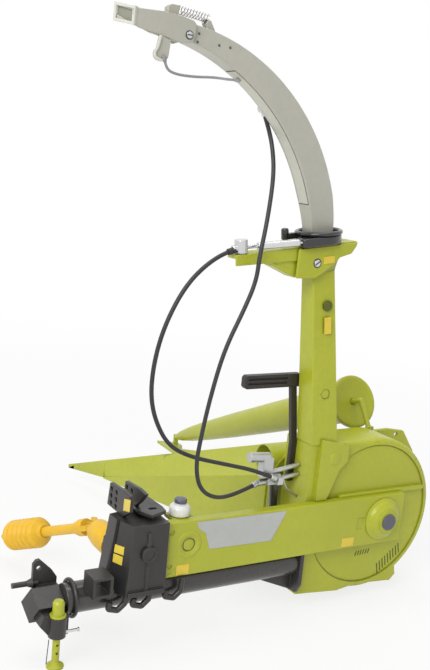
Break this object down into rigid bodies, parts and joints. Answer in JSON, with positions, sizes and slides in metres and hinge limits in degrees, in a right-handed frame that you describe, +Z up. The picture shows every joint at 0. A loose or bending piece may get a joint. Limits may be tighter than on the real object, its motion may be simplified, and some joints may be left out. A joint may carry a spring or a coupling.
{
  "type": "scale model of a mounted single-row maize forage harvester",
  "caption": "Scale model of a tractor-mounted single-row forage harvester with a curved discharge spout, belt case, hitch beam and drive shaft.",
  "frame": {"origin": "bottom centre of the rigid pieces' bounding box, on the surface the model stands on", "axes": "+Z up, +Y the driving direction, towards the divider tips, +X the machine's right"},
  "size_m": [0.0854, 0.095, 0.1026],
  "materials": {
    "lime_paint": "satin lime green body paint",
    "dark_lime_paint": "satin lime green sheet",
    "silver_paint": "pale silver grey paint",
    "black_plastic": "dark grey-black plastic",
    "yellow_plastic": "amber yellow plastic",
    "bright_metal": "bright turned metal",
    "white_plastic": "white plastic",
    "hose_rubber": "black rubber hose",
    "grey_braid": "grey braided cable",
    "cap_grey": "dark blue-grey cap"
  },
  "bodies": {
    "frame": {"housing_drum": "lime_paint", "housing_cover": "lime_paint", "front_plate": "lime_paint", "belt_case": "lime_paint", "hub_boss": "lime_paint", "hub_cap": "cap_grey", "chute": "lime_paint", "top_bracket": "lime_paint", "bracket_screw": "lime_paint", "cylinder_post": "bright_metal", "beam": "black_plastic", "beam_flange": "black_plastic", "hitch_box": "black_plastic", "lower_hitch_right": "black_plastic", "stand_pin": "bright_metal", "headstock": "black_plastic", "top_link_plates": "black_plastic", "draw_plate": "black_plastic", "stub_tube": "black_plastic", "beam_hoop": "black_plastic", "hose_hooks": "black_plastic", "oil_bottle": "white_plastic", "bottle_cap": "black_plastic", "bottle_shelf": "lime_paint", "shaft_guard": "yellow_plastic", "valve": "bright_metal", "valve_boot": "black_plastic", "side_arm": "black_plastic", "left_divider": "dark_lime_paint", "cone_arm": "lime_paint", "right_side": "dark_lime_paint", "header_pan": "dark_lime_paint", "skids": "dark_lime_paint", "feed_rolls": "black_plastic", "intake_sides": "dark_lime_paint", "long_hose": "hose_rubber", "short_hose": "hose_rubber"},
    "stand": {"stand_leg": "lime_paint"},
    "spout_turn": {"swivel_ring": "black_plastic", "spout": "silver_paint", "spout_nipple": "bright_metal", "flap_pivots": "silver_paint", "flap_spring": "bright_metal", "flap_cable": "grey_braid"},
    "flap": {"flap": "silver_paint", "flap_lever": "silver_paint"},
    "cylinder_barrel": {"cylinder_barrel": "bright_metal"},
    "cylinder_rod": {"cylinder_rod": "bright_metal"},
    "drive_yoke": {"drive_yoke": "yellow_plastic"},
    "joint_cross": {"joint_cross": "yellow_plastic"},
    "drive_shaft": {"drive_shaft": "yellow_plastic", "shaft_bell": "yellow_plastic"},
    "cone": {"cone_divider": "lime_paint"}
  },
  "joints": [
    {"name": "stand_slide", "type": "slide", "parent": "frame", "child": "stand", "axis": [0, 0, 1], "range_m": [0, 0.004]},
    {"name": "spout_swivel", "type": "hinge", "parent": "frame", "child": "spout_turn", "pos_m": [0.0081, -0.04133, 0.06822], "axis": [-0.134, 0, 0.991], "range_deg": [0, 45]},
    {"name": "cylinder_swing", "type": "hinge", "parent": "frame", "child": "cylinder_rod", "pos_m": [-0.00825, -0.04263, 0.06606], "axis": [-0.134, 0, 0.991], "range_deg": [-9.5, 0.5]},
    {"name": "cylinder_slide", "type": "slide", "parent": "cylinder_rod", "child": "cylinder_barrel", "axis": [0.9817, -0.1366, 0.1327], "range_m": [0, 0.0038]},
    {"name": "flap_tilt", "type": "hinge", "parent": "spout_turn", "child": "flap", "pos_m": [-0.02178, -0.04133, 0.09812], "axis": [0, -1, 0], "range_deg": [0, 35], "deforming": ["flap_spring"]},
    {"name": "drive_spin", "type": "hinge", "parent": "frame", "child": "drive_yoke", "pos_m": [-0.02403, -0.02768, 0.0149], "axis": [0, 1, 0], "continuous": true},
    {"name": "shaft_swing", "type": "hinge", "parent": "drive_yoke", "child": "joint_cross", "pos_m": [-0.02403, -0.02768, 0.0149], "axis": [0, 0, 1], "range_deg": [-49, 11]},
    {"name": "shaft_lift", "type": "hinge", "parent": "joint_cross", "child": "drive_shaft", "pos_m": [-0.02403, -0.02768, 0.0149], "axis": [0.9455, 0.3256, 0], "range_deg": [-7, 53]},
    {"name": "cone_spin", "type": "hinge", "parent": "frame", "child": "cone", "pos_m": [0.02967, -0.03068, 0.036], "axis": [0.0239, 0.9253, -0.3784], "continuous": true}
  ],
  "couplings": [
    {"joint": "cylinder_swing", "follows": "spout_swivel", "ratio": -0.2},
    {"joint": "cylinder_slide", "follows": "spout_swivel", "m_per_rad": 0.004757}
  ]
}
